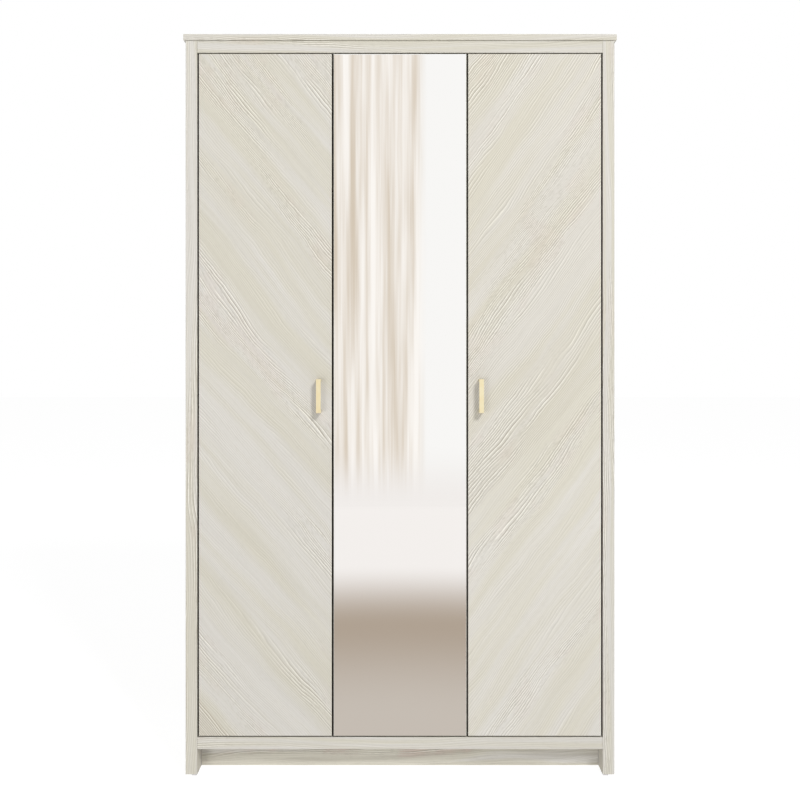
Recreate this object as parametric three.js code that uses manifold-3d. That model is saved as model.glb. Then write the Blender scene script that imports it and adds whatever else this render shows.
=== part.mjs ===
// A three-door wardrobe with a full-height mirror on its middle door, in millimetres.
// x runs left to right seen from the front, y from the front to the back, z up.
// The origin is on the floor, in the middle of the width and of the whole depth, handles included.
import * as THREE from "three";
import { mergeVertices } from "three/addons/utils/BufferGeometryUtils.js";
import Module from "manifold-3d";

const wasm = await Module();
wasm.setup();

// ---------------------------------------------------------------- driving dimensions
const HEIGHT = 1920;
const TOP_WIDTH = 1122;
const BODY_WIDTH = 1111;
const TOTAL_DEPTH = 536; // from the front of the handles to the back panel
const TOP_OVERHANG = 4.5; // of the top panel, past the front of the body
const BOARD = 15; // sides, rails, shelves and plinth
const DOOR_BOARD = 16;
const BACK_PANEL = 3;
const FIT = 0.3; // left between two pieces that bear on each other

const FLOOR_GAP = 3.5; // the glides' height
const STILE_DEPTH = 85; // the board that doubles each side's front edge
const BOTTOM_RAIL = { low: 69, high: 100 };
const TOP_RAIL_HEIGHT = 32;
const STOP_RAIL_HEIGHT = 67;
const BEHIND_DOORS = 28; // from the front of the doors to the partition and the stop rail
const PLINTH_SETBACK = 67;
const REAR_PLINTH_INSET = 5;
const BACK_PANEL_INSET = 1;

const DOOR_GAP = 4.5; // beside each door
const DOOR_END_GAP = 3; // above and below each door
const DOOR_COUNT = 3;
const GLASS = 3;
const GLASS_INSET = 1;

const HANDLE = { width: 12, length: 87, projection: 28, bar: 6, post: 7 };
const HANDLE_FROM_FREE_EDGE = 33;
const HANDLE_HEIGHT = 984;

const SHELF_FRONT = 90; // from the front of the doors to the front edge of every shelf
const HAT_SHELF_HEIGHT = 1600;
const SHELF_HEIGHTS = { lower: 600, middle: 1100, upper: HAT_SHELF_HEIGHT };

const RAIL = { width: 15, height: 30, wall: 1.2, drop: 60, behindFront: 270 };
const SOCKET = { wall: 2.7, collar: 10, flange: 3, flangeWidth: 28, flangeHeight: 60 };
const GLIDE = { width: 13, length: 40, fromEdge: 1 };

// The concealed hinge. u runs from the door's hinged edge into the door, v from the door's
// front face backwards, so each hinge is drawn once for all three doors.
const PIN = { u: 17, v: 8, radius: 1, clearance: 0.25 };
const CUP = { u: 22.5, radius: 17.2, bore: 17.5, boreFloor: 4.5, wall: 1, floor: 0.7 };
const WING = { width: 14, length: 60, thickness: 1.2 };
const ARM = { thickness: 2.5, height: 16, eye: 2.2, neckU: 29, neckV: 13, crossV: 30, endV: 72 };
const MOUNTING_PLATE = { thickness: 2.4, frontV: 36, backV: 80, spineHeight: 18 };
const PLATE_WING = { frontV: 50, backV: 64, height: 50 };
const HINGE_INSET = 100; // from the door's top and bottom edges to the outer hinges

// ---------------------------------------------------------------- derived levels and planes
const FRONT = -TOTAL_DEPTH / 2 + HANDLE.projection;
const BACK = TOTAL_DEPTH / 2;
const BODY_BACK = BACK - BACK_PANEL;
const BODY_TOP = HEIGHT - BOARD;
const OUTER = BODY_WIDTH / 2;
const INNER = OUTER - BOARD;
const OPENING = INNER - BOARD;
const STILE_BACK = FRONT + STILE_DEPTH;
const BAY_BACK = BODY_BACK - FIT;
const FLOOR_TOP = BOTTOM_RAIL.high;
const FLOOR_UNDERSIDE = FLOOR_TOP - BOARD;
const DOOR_WIDTH = (2 * OPENING - (DOOR_COUNT + 1) * DOOR_GAP) / DOOR_COUNT;
const DOOR_LOW = BOTTOM_RAIL.high + DOOR_END_GAP;
const DOOR_HIGH = BODY_TOP - TOP_RAIL_HEIGHT - DOOR_END_GAP;
const PARTITION_MIDDLE = (DOOR_WIDTH + DOOR_GAP) / 2;
const PARTITION_LEFT = PARTITION_MIDDLE - BOARD / 2;
const PARTITION_RIGHT = PARTITION_MIDDLE + BOARD / 2;
const HINGE_HEIGHTS = {
  bottom: DOOR_LOW + HINGE_INSET,
  middle: (DOOR_LOW + DOOR_HIGH) / 2,
  top: DOOR_HIGH - HINGE_INSET,
};

// ---------------------------------------------------------------- materials
const finish = (color, roughness, metalness) =>
  new THREE.MeshStandardMaterial({ color, roughness, metalness });

const MATERIALS = {
  carcass: () => finish(0xd3d0c6, 0.55, 0),
  door: () => finish(0xd9d6cc, 0.5, 0),
  inner: () => finish(0xdad8d0, 0.6, 0),
  backing: () => finish(0xd8d6cf, 0.7, 0),
  glass: () => finish(0xdfe5e6, 0.02, 1),
  brass: () => finish(0xe9dcae, 0.3, 1),
  steel: () => finish(0xb4b6b8, 0.35, 1),
  plastic: () => finish(0x8f8f8b, 0.6, 0),
};

// ---------------------------------------------------------------- solids
// A closed geometry as a solid that can be joined and cut.
function solidOf(geometry) {
  const bare = geometry.clone();
  bare.deleteAttribute("normal");
  bare.deleteAttribute("uv");
  const merged = mergeVertices(bare, 1e-3);
  const mesh = new wasm.Mesh({
    numProp: 3,
    vertProperties: new Float32Array(merged.attributes.position.array),
    triVerts: new Uint32Array(merged.index.array),
  });
  return new wasm.Manifold(mesh);
}

function geometryOf(solid) {
  const mesh = solid.getMesh();
  const geometry = new THREE.BufferGeometry();
  geometry.setAttribute("position", new THREE.BufferAttribute(mesh.vertProperties, 3));
  geometry.setIndex(new THREE.BufferAttribute(mesh.triVerts, 1));
  geometry.computeVertexNormals();
  return geometry;
}

// A block between two planes on each axis.
function block([x0, x1], [y0, y1], [z0, z1]) {
  const geometry = new THREE.BoxGeometry(x1 - x0, y1 - y0, z1 - z0);
  return geometry.translate((x0 + x1) / 2, (y0 + y1) / 2, (z0 + z1) / 2);
}

// An outline in the x-y plane, raised from one height to another.
function raised(shape, low, high) {
  const geometry = new THREE.ExtrudeGeometry(shape, {
    depth: high - low,
    bevelEnabled: false,
    curveSegments: 12,
  });
  return geometry.translate(0, 0, low);
}

// An outline in the y-z plane, drawn out along x from one plane to another.
function drawnAlongX(shape, low, high) {
  const turn = new THREE.Matrix4().makeBasis(
    new THREE.Vector3(0, 1, 0),
    new THREE.Vector3(0, 0, 1),
    new THREE.Vector3(1, 0, 0),
  );
  return raised(shape, low, high).applyMatrix4(turn);
}

function polygon(points) {
  return new THREE.Shape(points.map(([a, b]) => new THREE.Vector2(a, b)));
}

// A slot shape: straight sides and round ends, taller than it is wide.
function slot(Kind, width, height) {
  const radius = width / 2;
  const straight = height / 2 - radius;
  const path = new Kind();
  path.absarc(0, straight, radius, 0, Math.PI);
  path.absarc(0, -straight, radius, Math.PI, 2 * Math.PI);
  path.closePath();
  return path;
}

// A slot shape with a smaller slot through it.
function slotRing(width, height, wall) {
  const ring = slot(THREE.Shape, width, height);
  ring.holes.push(slot(THREE.Path, width - 2 * wall, height - 2 * wall));
  return ring;
}

// The outline of a bent strip: both sides of its centre line, with mitred corners.
function strip(centreLine, thickness) {
  const points = centreLine.map(([a, b]) => new THREE.Vector2(a, b));
  const directions = points
    .slice(1)
    .map((point, i) => point.clone().sub(points[i]).normalize());
  const offset = (sign) =>
    points.map((point, i) => {
      const before = directions[Math.max(i - 1, 0)];
      const after = directions[Math.min(i, directions.length - 1)];
      const across = new THREE.Vector2(-before.y - after.y, before.x + after.x).normalize();
      const square = new THREE.Vector2(-before.y, before.x);
      const reach = (sign * thickness) / 2 / across.dot(square);
      return point.clone().addScaledVector(across, reach);
    });
  return new THREE.Shape([...offset(1), ...offset(-1).reverse()]);
}

function upright(radius, low, high, segments) {
  const geometry = new THREE.CylinderGeometry(radius, radius, high - low, segments);
  return geometry.rotateX(Math.PI / 2).translate(0, 0, (low + high) / 2);
}

// ---------------------------------------------------------------- scene graph
const wardrobe = new THREE.Group();

function add(parent, name, material, geometry) {
  const mesh = new THREE.Mesh(geometry, MATERIALS[material]());
  mesh.name = name;
  parent.add(mesh);
  return mesh;
}

// ---------------------------------------------------------------- carcass
function buildShell(carcass) {
  const height = [FLOOR_GAP, BODY_TOP - FIT];
  const depth = [FRONT, BODY_BACK];
  add(carcass, "left_side_panel", "carcass", block([-OUTER, -INNER], depth, height));
  add(carcass, "right_side_panel", "carcass", block([INNER, OUTER], depth, height));

  const stileDepth = [FRONT, STILE_BACK];
  const stileInside = INNER - FIT;
  add(carcass, "left_stile", "carcass", block([-stileInside, -OPENING], stileDepth, height));
  add(carcass, "right_stile", "carcass", block([OPENING, stileInside], stileDepth, height));

  const topWidth = [-TOP_WIDTH / 2, TOP_WIDTH / 2];
  const topDepth = [FRONT - TOP_OVERHANG, BACK];
  add(carcass, "top_panel", "carcass", block(topWidth, topDepth, [BODY_TOP, HEIGHT]));
}

function buildRails(carcass) {
  const between = [-OPENING + FIT, OPENING - FIT];
  const flush = [FRONT, FRONT + BOARD];
  const topRail = [BODY_TOP - TOP_RAIL_HEIGHT, BODY_TOP - FIT];
  add(carcass, "top_rail", "carcass", block(between, flush, topRail));

  const stopDepth = [FRONT + BEHIND_DOORS, FRONT + BEHIND_DOORS + BOARD];
  const stopRail = [BODY_TOP - STOP_RAIL_HEIGHT, BODY_TOP - FIT];
  add(carcass, "stop_rail", "inner", block(between, stopDepth, stopRail));

  const bottomRail = [BOTTOM_RAIL.low, BOTTOM_RAIL.high];
  add(carcass, "bottom_rail", "carcass", block(between, flush, bottomRail));
}

// The floor of the wardrobe is notched round the two stiles.
function floorOutline() {
  const front = FRONT + BOARD + FIT;
  const notch = STILE_BACK + FIT;
  const narrow = OPENING - FIT;
  const wide = INNER - FIT;
  return polygon([
    [-narrow, front],
    [narrow, front],
    [narrow, notch],
    [wide, notch],
    [wide, BAY_BACK],
    [-wide, BAY_BACK],
    [-wide, notch],
    [-narrow, notch],
  ]);
}

function buildBase(carcass) {
  const floor = raised(floorOutline(), FLOOR_UNDERSIDE, FLOOR_TOP);
  add(carcass, "bottom_panel", "inner", floor);

  const plinthTop = FLOOR_UNDERSIDE - FIT;
  const plinthFront = FRONT + PLINTH_SETBACK;
  const plinthWidth = [-OPENING + FIT, OPENING - FIT];
  const plinthDepth = [plinthFront, plinthFront + BOARD];
  const plinth = block(plinthWidth, plinthDepth, [FLOOR_GAP, plinthTop]);
  add(carcass, "plinth_board", "carcass", plinth);

  const rearBack = BODY_BACK - REAR_PLINTH_INSET;
  const rearDepth = [rearBack - BOARD, rearBack];
  const rearWidth = [-INNER + FIT, INNER - FIT];
  const rear = block(rearWidth, rearDepth, [FLOOR_GAP, plinthTop]);
  add(carcass, "rear_plinth", "inner", rear);

  // The middle bearer stands on the floor and carries the middle of the bottom panel.
  const bearerDepth = [plinthDepth[1] + FIT, rearDepth[0] - FIT];
  const bearer = block([-BOARD / 2, BOARD / 2], bearerDepth, [0, plinthTop]);
  add(carcass, "centre_plinth_support", "inner", bearer);
}

function buildGlides(carcass) {
  const height = [0, FLOOR_GAP - FIT];
  const stileMiddle = OPENING + BOARD / 2;
  const sideMiddle = INNER + BOARD / 2;
  const frontDepth = [FRONT + GLIDE.fromEdge, FRONT + GLIDE.fromEdge + GLIDE.length];
  const rearEnd = BODY_BACK - GLIDE.fromEdge;
  const rearDepth = [rearEnd - GLIDE.length, rearEnd];
  for (const [side, sign] of [["left", -1], ["right", 1]]) {
    const under = (middle) => [
      sign * middle - GLIDE.width / 2,
      sign * middle + GLIDE.width / 2,
    ];
    const front = block(under(stileMiddle), frontDepth, height);
    add(carcass, `front_${side}_glide`, "plastic", front);
    const rear = block(under(sideMiddle), rearDepth, height);
    add(carcass, `rear_${side}_glide`, "plastic", rear);
  }
}

// The partition stands on the floor panel, and its front corner is notched round the stop rail.
function buildPartition(carcass) {
  const front = FRONT + BEHIND_DOORS;
  const notchBack = front + BOARD + FIT;
  const notchLow = BODY_TOP - STOP_RAIL_HEIGHT - FIT;
  const top = BODY_TOP - FIT;
  const outline = polygon([
    [front, FLOOR_TOP + FIT],
    [BAY_BACK, FLOOR_TOP + FIT],
    [BAY_BACK, top],
    [notchBack, top],
    [notchBack, notchLow],
    [front, notchLow],
  ]);
  const partition = drawnAlongX(outline, PARTITION_LEFT, PARTITION_RIGHT);
  add(carcass, "partition", "inner", partition);
}

// The back is two thin sheets, which meet on the partition's rear edge.
function buildBack(carcass) {
  const edge = OUTER - BACK_PANEL_INSET;
  const depth = [BODY_BACK + FIT, BACK];
  const height = [BOTTOM_RAIL.low, BODY_TOP - FIT];
  const wide = block([-edge, PARTITION_MIDDLE - FIT / 2], depth, height);
  const narrow = block([PARTITION_MIDDLE + FIT / 2, edge], depth, height);
  add(carcass, "back_panel_wide", "backing", wide);
  add(carcass, "back_panel_narrow", "backing", narrow);
}

function buildShelves(carcass) {
  const depth = [FRONT + SHELF_FRONT, BAY_BACK];
  const leftBay = [-INNER + FIT, PARTITION_LEFT - FIT];
  const rightBay = [PARTITION_RIGHT + FIT, INNER - FIT];
  const hatShelf = [HAT_SHELF_HEIGHT, HAT_SHELF_HEIGHT + BOARD];
  add(carcass, "hat_shelf", "inner", block(leftBay, depth, hatShelf));
  for (const [level, height] of Object.entries(SHELF_HEIGHTS)) {
    const shelf = block(rightBay, depth, [height, height + BOARD]);
    add(carcass, `${level}_shelf`, "inner", shelf);
  }
}

// An oval clothes rail under the hat shelf, held in a collared socket at each end.
function buildHangingRail(carcass) {
  const group = new THREE.Group();
  group.position.set(0, FRONT + RAIL.behindFront, HAT_SHELF_HEIGHT - RAIL.drop);
  carcass.add(group);

  const left = -INNER + FIT;
  const right = PARTITION_LEFT - FIT;
  const inset = SOCKET.flange + FIT;
  const tube = slotRing(RAIL.width, RAIL.height, RAIL.wall);
  add(group, "hanging_rail", "steel", drawnAlongX(tube, left + inset, right - inset));

  const collarWidth = RAIL.width + 2 * (FIT + SOCKET.wall);
  const collarHeight = RAIL.height + 2 * (FIT + SOCKET.wall);
  const collar = slotRing(collarWidth, collarHeight, SOCKET.wall);
  const flange = slot(THREE.Shape, SOCKET.flangeWidth, SOCKET.flangeHeight);
  for (const [side, face, inward] of [["left", left, 1], ["right", right, -1]]) {
    const flangeEnds = [face, face + inward * SOCKET.flange].sort((a, b) => a - b);
    const collarEnds = [face, face + inward * (SOCKET.flange + SOCKET.collar)];
    collarEnds.sort((a, b) => a - b);
    const socket = solidOf(drawnAlongX(flange, ...flangeEnds)).add(
      solidOf(drawnAlongX(collar, ...collarEnds)),
    );
    add(group, `${side}_rail_socket`, "steel", geometryOf(socket));
  }
}

// ---------------------------------------------------------------- concealed hinges
// Everything here is drawn about the hinge pin, with `inward` +1 where the door reaches to
// the right of its hinge and -1 where it reaches to the left.
function aboutPin(inward) {
  return ([u, v]) => [inward * (u - PIN.u), v - PIN.v];
}

function span(inward, u0, u1) {
  return [inward * (u0 - PIN.u), inward * (u1 - PIN.u)].sort((a, b) => a - b);
}

// The cup sits in the door's bore, with a wing above and below it on the door's back.
function hingeCup(inward) {
  const floor = CUP.boreFloor + FIT;
  const inside = CUP.radius - CUP.wall;
  const wingBack = DOOR_BOARD + FIT + WING.thickness;
  const profile = [
    [0, floor],
    [CUP.radius, floor],
    [CUP.radius, wingBack],
    [inside, wingBack],
    [inside, floor + CUP.floor],
    [0, floor + CUP.floor],
  ].map(([r, v]) => new THREE.Vector2(r, v - PIN.v));
  const [middle] = span(inward, CUP.u, CUP.u);
  const cup = new THREE.LatheGeometry(profile, 32).translate(middle, 0, 0);

  const wingWidth = span(inward, CUP.u - WING.width / 2, CUP.u + WING.width / 2);
  const wingDepth = [DOOR_BOARD + FIT - PIN.v, wingBack - PIN.v];
  const wings = block(wingWidth, wingDepth, [-WING.length / 2, WING.length / 2]);
  const hollow = new THREE.CylinderGeometry(inside, inside, DOOR_BOARD, 32);
  hollow.translate(middle, floor + CUP.floor + DOOR_BOARD / 2 - PIN.v, 0);

  // The rim is cut low where the arm swings over it.
  const clearHeight = ARM.height / 2 + 2;
  const notch = block(
    span(inward, CUP.u - CUP.bore - 1, CUP.u),
    [DOOR_BOARD - PIN.v, wingBack + 1 - PIN.v],
    [-clearHeight, clearHeight],
  );
  const pinHalf = Math.sqrt(CUP.radius ** 2 - (CUP.u - PIN.u) ** 2) - CUP.wall / 2;
  const pin = upright(PIN.radius, -pinHalf, pinHalf, 16);
  const body = solidOf(cup).add(solidOf(wings).subtract(solidOf(hollow)));
  return geometryOf(body.subtract(solidOf(notch)).add(solidOf(pin)));
}

// The arm runs from its eye on the pin, out of the cup, and sideways to the carcass,
// where its tail lies on the mounting plate. faceU is the carcass face that it reaches.
function hingeArm(inward, faceU) {
  const tailU = faceU + FIT + MOUNTING_PLATE.thickness + FIT + ARM.thickness / 2;
  const centreLine = [
    [PIN.u, PIN.v],
    [ARM.neckU, ARM.neckV],
    [ARM.neckU, ARM.crossV],
    [tailU, ARM.crossV],
    [tailU, ARM.endV],
  ].map(aboutPin(inward));
  const half = ARM.height / 2;
  const band = solidOf(raised(strip(centreLine, ARM.thickness), -half, half));
  const eye = solidOf(upright(ARM.eye, -half, half, 24));
  const hole = solidOf(upright(PIN.radius + PIN.clearance, -half - 1, half + 1, 24));
  return geometryOf(band.add(eye).subtract(hole));
}

// A cross-shaped plate on the carcass: a spine under the arm and a wing for its two screws.
function mountingPlate(inward, faceU) {
  const [front, back] = [MOUNTING_PLATE.frontV - PIN.v, MOUNTING_PLATE.backV - PIN.v];
  const [wingFront, wingBack] = [PLATE_WING.frontV - PIN.v, PLATE_WING.backV - PIN.v];
  const spine = MOUNTING_PLATE.spineHeight / 2;
  const wing = PLATE_WING.height / 2;
  const cross = polygon([
    [front, -spine],
    [wingFront, -spine],
    [wingFront, -wing],
    [wingBack, -wing],
    [wingBack, -spine],
    [back, -spine],
    [back, spine],
    [wingBack, spine],
    [wingBack, wing],
    [wingFront, wing],
    [wingFront, spine],
    [front, spine],
  ]);
  const lowU = faceU + FIT;
  return drawnAlongX(cross, ...span(inward, lowU, lowU + MOUNTING_PLATE.thickness));
}

// ---------------------------------------------------------------- doors
function doorBoard(inward) {
  const leaf = block(
    span(inward, 0, DOOR_WIDTH),
    [-PIN.v, DOOR_BOARD - PIN.v],
    [DOOR_LOW, DOOR_HIGH],
  );
  const boreDepth = DOOR_BOARD - CUP.boreFloor + 1;
  const [boreX] = span(inward, CUP.u, CUP.u);
  const boreY = CUP.boreFloor + boreDepth / 2 - PIN.v;
  return geometryOf(
    Object.values(HINGE_HEIGHTS).reduce((board, height) => {
      const bore = new THREE.CylinderGeometry(CUP.bore, CUP.bore, boreDepth, 32);
      return board.subtract(solidOf(bore.translate(boreX, boreY, height)));
    }, solidOf(leaf)),
  );
}

// A plain rectangular pull: a flat bar on a post at each end.
function handle(inward) {
  const reach = HANDLE.length / 2;
  const inside = reach - HANDLE.post;
  const front = -HANDLE.projection - PIN.v;
  const barBack = front + HANDLE.bar;
  const foot = -FIT - PIN.v;
  const profile = polygon([
    [front, -reach],
    [foot, -reach],
    [foot, -inside],
    [barBack, -inside],
    [barBack, inside],
    [foot, inside],
    [foot, reach],
    [front, reach],
  ]);
  const middle = DOOR_WIDTH - HANDLE_FROM_FREE_EDGE;
  const width = span(inward, middle - HANDLE.width / 2, middle + HANDLE.width / 2);
  return drawnAlongX(profile, ...width).translate(0, 0, HANDLE_HEIGHT);
}

function mirrorGlass(inward) {
  return block(
    span(inward, GLASS_INSET, DOOR_WIDTH - GLASS_INSET),
    [-GLASS - PIN.v, -FIT - PIN.v],
    [DOOR_LOW + GLASS_INSET, DOOR_HIGH - GLASS_INSET],
  );
}

// Each door's group has its origin on the door's hinge pins.
// hingedEdge is the x of the edge with the hinges, and faceU the carcass face they reach.
function buildDoor({ name, hingedEdge, inward, faceU }) {
  const door = new THREE.Group();
  door.position.set(hingedEdge + inward * PIN.u, FRONT + PIN.v, 0);
  wardrobe.add(door);
  add(door, `${name}_door`, "door", doorBoard(inward));
  if (name === "mirror") {
    add(door, "mirror_glass", "glass", mirrorGlass(inward));
  } else {
    add(door, `${name}_handle`, "brass", handle(inward));
  }
  for (const [level, height] of Object.entries(HINGE_HEIGHTS)) {
    const hinge = new THREE.Group();
    hinge.position.z = height;
    door.add(hinge);
    add(hinge, `${name}_hinge_cup_${level}`, "steel", hingeCup(inward));
    add(hinge, `${name}_hinge_arm_${level}`, "steel", hingeArm(inward, faceU));
    add(hinge, `${name}_hinge_plate_${level}`, "steel", mountingPlate(inward, faceU));
  }
}

// ---------------------------------------------------------------- assembly
const carcass = new THREE.Group();
wardrobe.add(carcass);
buildShell(carcass);
buildRails(carcass);
buildBase(carcass);
buildGlides(carcass);
buildPartition(carcass);
buildBack(carcass);
buildShelves(carcass);
buildHangingRail(carcass);

// The outer doors hang on the stiles, and the mirror door on the partition behind its right edge.
const outerEdge = OPENING - DOOR_GAP;
const mirrorEdge = DOOR_WIDTH / 2;
buildDoor({ name: "left", hingedEdge: -outerEdge, inward: 1, faceU: -DOOR_GAP });
buildDoor({ name: "mirror", hingedEdge: mirrorEdge, inward: -1, faceU: mirrorEdge - PARTITION_LEFT });
buildDoor({ name: "right", hingedEdge: outerEdge, inward: -1, faceU: -DOOR_GAP });

export default wardrobe;
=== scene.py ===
"""The looks of the three-door wardrobe: laminate grain, mirror, brass pulls, hinges and small fittings.

The scene is in metres, with x to the right, y to the back and z up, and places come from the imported
frame. The sizes of fittings are in millimetres, and MM or MILLIMETRES scales them."""

import math

import bmesh
import bpy
from mathutils import Matrix, Vector


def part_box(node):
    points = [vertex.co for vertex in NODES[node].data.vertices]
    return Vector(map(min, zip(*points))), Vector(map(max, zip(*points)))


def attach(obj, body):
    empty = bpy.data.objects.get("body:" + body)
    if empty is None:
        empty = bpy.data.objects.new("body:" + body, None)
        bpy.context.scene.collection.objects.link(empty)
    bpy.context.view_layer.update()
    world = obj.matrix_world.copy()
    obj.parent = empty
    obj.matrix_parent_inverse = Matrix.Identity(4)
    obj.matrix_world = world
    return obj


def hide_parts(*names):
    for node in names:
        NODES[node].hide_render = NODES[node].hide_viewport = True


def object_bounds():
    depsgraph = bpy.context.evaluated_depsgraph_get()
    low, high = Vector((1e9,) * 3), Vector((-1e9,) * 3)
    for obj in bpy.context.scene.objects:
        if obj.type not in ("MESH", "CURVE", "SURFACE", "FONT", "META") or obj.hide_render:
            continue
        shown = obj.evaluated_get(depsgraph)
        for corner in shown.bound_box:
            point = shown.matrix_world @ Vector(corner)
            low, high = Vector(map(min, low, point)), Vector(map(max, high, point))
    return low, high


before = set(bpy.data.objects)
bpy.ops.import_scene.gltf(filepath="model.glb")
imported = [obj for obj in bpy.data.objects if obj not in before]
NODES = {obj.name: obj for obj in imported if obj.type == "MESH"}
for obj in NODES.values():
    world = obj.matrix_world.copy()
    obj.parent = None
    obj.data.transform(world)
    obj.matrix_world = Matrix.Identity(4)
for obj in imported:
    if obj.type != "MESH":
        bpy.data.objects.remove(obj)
CAD_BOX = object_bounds()

MM = 0.001
MILLIMETRES = Matrix.Scale(MM, 4)
DEG = math.pi / 180
FULL_TURN = 2 * math.pi

SIDES = {"left": 1, "mirror": -1, "right": -1}  # the way each door reaches from its hinges
LEVELS = ("bottom", "middle", "top")
BACKING_NODES = ("back_panel_wide", "back_panel_narrow")
SHELVES = ("lower_shelf", "middle_shelf", "upper_shelf")


# ---------------------------------------------------------------- node helpers
def srgb(red, green, blue):
    """A display colour of 0 to 255 as the linear colour that shaders take."""

    def linear(value):
        value /= 255
        return value / 12.92 if value <= 0.04045 else ((value + 0.055) / 1.055) ** 2.4

    return (linear(red), linear(green), linear(blue), 1.0)


def grey(level):
    """An even grey as a linear colour."""
    return (level, level, level, 1.0)


class Shader:
    """A material and short ways to add nodes to it."""

    def __init__(self, name):
        self.material = bpy.data.materials.new(name)
        self.material.use_nodes = True
        self.tree = self.material.node_tree
        self.surface = self.tree.nodes["Principled BSDF"]

    def node(self, kind, inputs=None, **settings):
        made = self.tree.nodes.new(kind)
        for key, value in settings.items():
            setattr(made, key, value)
        for key, value in (inputs or {}).items():
            self.feed(made.inputs[key], value)
        return made

    def feed(self, socket, value):
        """Link the socket if the value is another node's output, and else set it."""
        if isinstance(value, bpy.types.NodeSocket):
            self.tree.links.new(value, socket)
        else:
            socket.default_value = value

    def set(self, **values):
        """Feed the surface shader's sockets, named with _ for each space."""
        for key, value in values.items():
            self.feed(self.surface.inputs[key.replace("_", " ")], value)

    def math(self, operation, *values, clamp=False):
        made = self.node("ShaderNodeMath", operation=operation, use_clamp=clamp)
        for socket, value in zip(made.inputs, values):
            self.feed(socket, value)
        return made.outputs[0]

    def ramp(self, value, low, high, out_low=0.0, out_high=1.0):
        """A smooth step between two outputs as the value goes from low to high."""
        inputs = {0: value, 1: low, 2: high, 3: out_low, 4: out_high}
        made = self.node("ShaderNodeMapRange", inputs, interpolation_type="SMOOTHSTEP")
        return made.outputs[0]

    def mix(self, share, first, second, blend="MIX"):
        inputs = {0: share, 6: first, 7: second}
        made = self.node("ShaderNodeMix", inputs, data_type="RGBA", blend_type=blend)
        return made.outputs[2]

    def vector(self, x, y, z):
        return self.node("ShaderNodeCombineXYZ", {0: x, 1: y, 2: z}).outputs[0]

    def split(self, vector):
        return self.node("ShaderNodeSeparateXYZ", {0: vector}).outputs

    def place(self):
        """The point's place on the piece, in metres."""
        return self.node("ShaderNodeTexCoord").outputs["Object"]

    def facing_back(self):
        """The y part of the direction that the surface faces: 1 to the back and -1 to the front."""
        return self.split(self.node("ShaderNodeTexCoord").outputs["Normal"])[1]

    def noise(self, vector, detail, roughness=0.5, scale=1.0):
        inputs = {"Vector": vector, "Scale": scale, "Detail": detail, "Roughness": roughness}
        return self.node("ShaderNodeTexNoise", inputs).outputs[0]

    def bump(self, height, distance, strength):
        inputs = {"Height": height, "Distance": distance, "Strength": strength}
        return self.node("ShaderNodeBump", inputs).outputs[0]


# ---------------------------------------------------------------- laminate
PALE = srgb(200, 197, 191)
MIDDLE = srgb(195, 191, 178)
DARK = srgb(142, 136, 122)
# The next colour is a painted highlight beside each growth line, for the lit side of the embossed grain.
LINE_HIGHLIGHT = srgb(226, 223, 213)
WARM = srgb(190, 172, 162)
SHADED = srgb(172, 165, 149)
# The next colour is painted shade for the gaps between the doors, laid on the doors' edges.
GAP_SHADE = srgb(158, 152, 137)

# Fields of noise, as cycles per metre along the grain, cycles per metre across it, and the slice
# of the noise that the field is taken from.
WANDER = (1.3, 3.0, 0.0)
WAVER = (9.0, 12.0, 3.3)
BANDS = (1.1, 16.0, 7.7)
STREAKS = (2.2, 95.0, 1.2)
HILLS = (2.0, 11.0, 5.1)
CLUSTERS = (1.2, 9.0, 9.4)
PRESENCE = (5.0, 60.0, 2.9)
PORES = (75.0, 430.0, 0.4)

SEED_STEP = 3.7  # metres along the grain between two boards' patterns
DEPTH_SHARE = 0.8  # how far the pattern shifts across the grain for each metre back
WANDER_REACH = 0.09  # how far the growth lines can wander across the grain
WAVER_REACH = 0.014
LINES_PER_METRE = 190.0
HILL_LINES = 10.0  # how many growth lines a hill pushes aside
LINE_FADE = {"low": 0.03, "high": 0.22}  # from a growth line's middle, as shares of their spacing
HIGHLIGHT_PLACE = 0.3  # a painted highlight, for the lit side of the embossed grain, lies this share of the spacing beside each growth line
PORE_LEAN = 0.16  # the slope of the pores from the grain

# How strongly the growth lines show in their clusters, between them, at the least, and on the
# darker of two planks; and the pores between the clusters.
CLUSTERED_LINES = 0.85
LOOSE_LINES = 0.24
LEAST_LINES = 0.05
PLANK_LINES = 0.5
LOOSE_PORES = 0.25

# How far each part of the pattern takes the colour to its own.
EVEN_SHARE = 0.03  # a slight darkening all over
STREAK_SHARE = 0.1
WARM_SHARE = 0.16
HIGHLIGHT_SHARE = 0.8
LINE_SHARE = 0.78
PORE_SHARE = 0.26

RELIEF_DEPTH = 0.12 * MM
LINE_DEPTH = 0.6  # as a share of the relief's depth
PORE_DEPTH = 0.5

# Two printed planks meet at a seam, a line through (x, z). side is 1 where the plank above the line
# is the darker one and -1 where it is the plank below, and strength is how much darker it is.
LEFT_SEAM = {"x": -0.485, "z": 0.158, "slope": -50 * DEG, "side": -1, "strength": 0.62}
RIGHT_SEAM = {"x": 0.35, "z": 0.86, "slope": 47 * DEG, "side": 1, "strength": 0.18}
SEAM_BLUR = 0.0015


def grain_axes(s, slope, seed):
    """(along, across) the grain, in metres. slope is the grain's angle from x in the x-z plane."""
    x, y, z = s.split(s.place())
    cos, sin = math.cos(slope), math.sin(slope)
    along = s.math("MULTIPLY_ADD", x, cos, s.math("MULTIPLY_ADD", z, sin, SEED_STEP * seed))
    across = s.math("MULTIPLY_ADD", x, -sin, s.math("MULTIPLY", z, cos))
    return along, s.math("MULTIPLY_ADD", y, DEPTH_SHARE, across)


def plank_share(s, seam):
    """1 on the darker plank beside a seam, and 0 on the other one."""
    x, _, z = s.split(s.place())
    cos = seam["side"] * math.cos(seam["slope"])
    sin = seam["side"] * math.sin(seam["slope"])
    offset = seam["x"] * sin - seam["z"] * cos
    beyond = s.math("MULTIPLY_ADD", x, -sin, s.math("MULTIPLY_ADD", z, cos, offset))
    return s.ramp(beyond, -SEAM_BLUR, SEAM_BLUR)


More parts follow.
